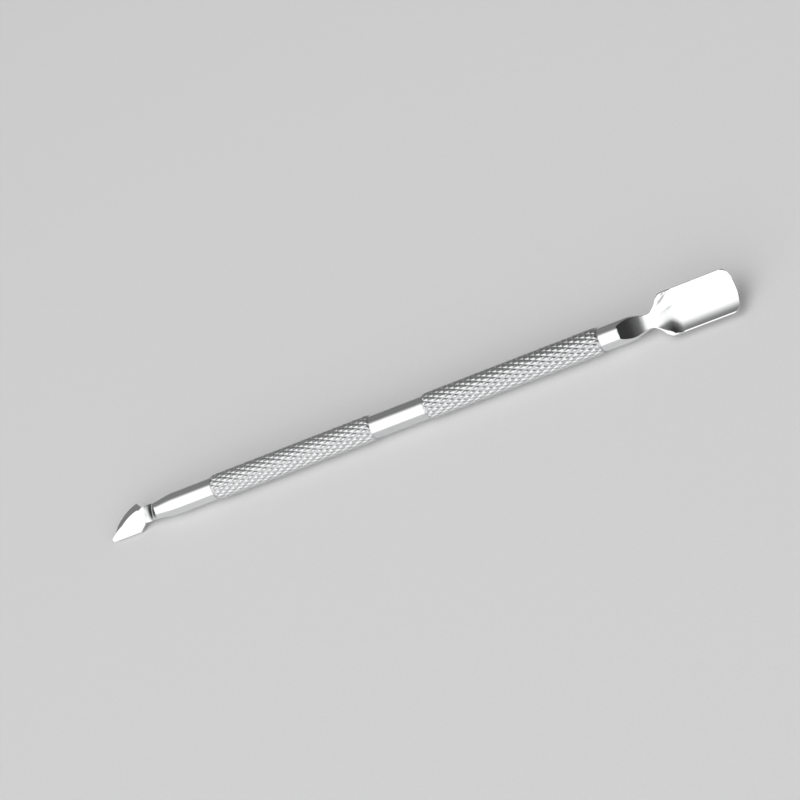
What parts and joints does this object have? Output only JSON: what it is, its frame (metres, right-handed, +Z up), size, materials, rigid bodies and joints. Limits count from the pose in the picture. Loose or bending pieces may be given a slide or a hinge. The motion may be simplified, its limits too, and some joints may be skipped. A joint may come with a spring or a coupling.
{
  "type": "cuticle pusher",
  "caption": "Double-ended stainless steel cuticle pusher: knurled round grip, wide scooped spoon at one end, curved cleaner blade at the other.",
  "frame": {"origin": "middle of the footprint on the table the tool lies on", "axes": "+X along the tool toward the spoon, +Z up from the table, -Y the side whose spoon and blade edges are turned down"},
  "size_m": [0.1316, 0.007, 0.0064],
  "materials": {
    "knurled_steel": "rolled diamond knurl, polished over",
    "polished_steel": "mirror-polished stainless steel"
  },
  "bodies": {
    "root": {"grip": "knurled_steel", "spoon_tip": "polished_steel", "blade_tip": "polished_steel"}
  },
  "joints": []
}
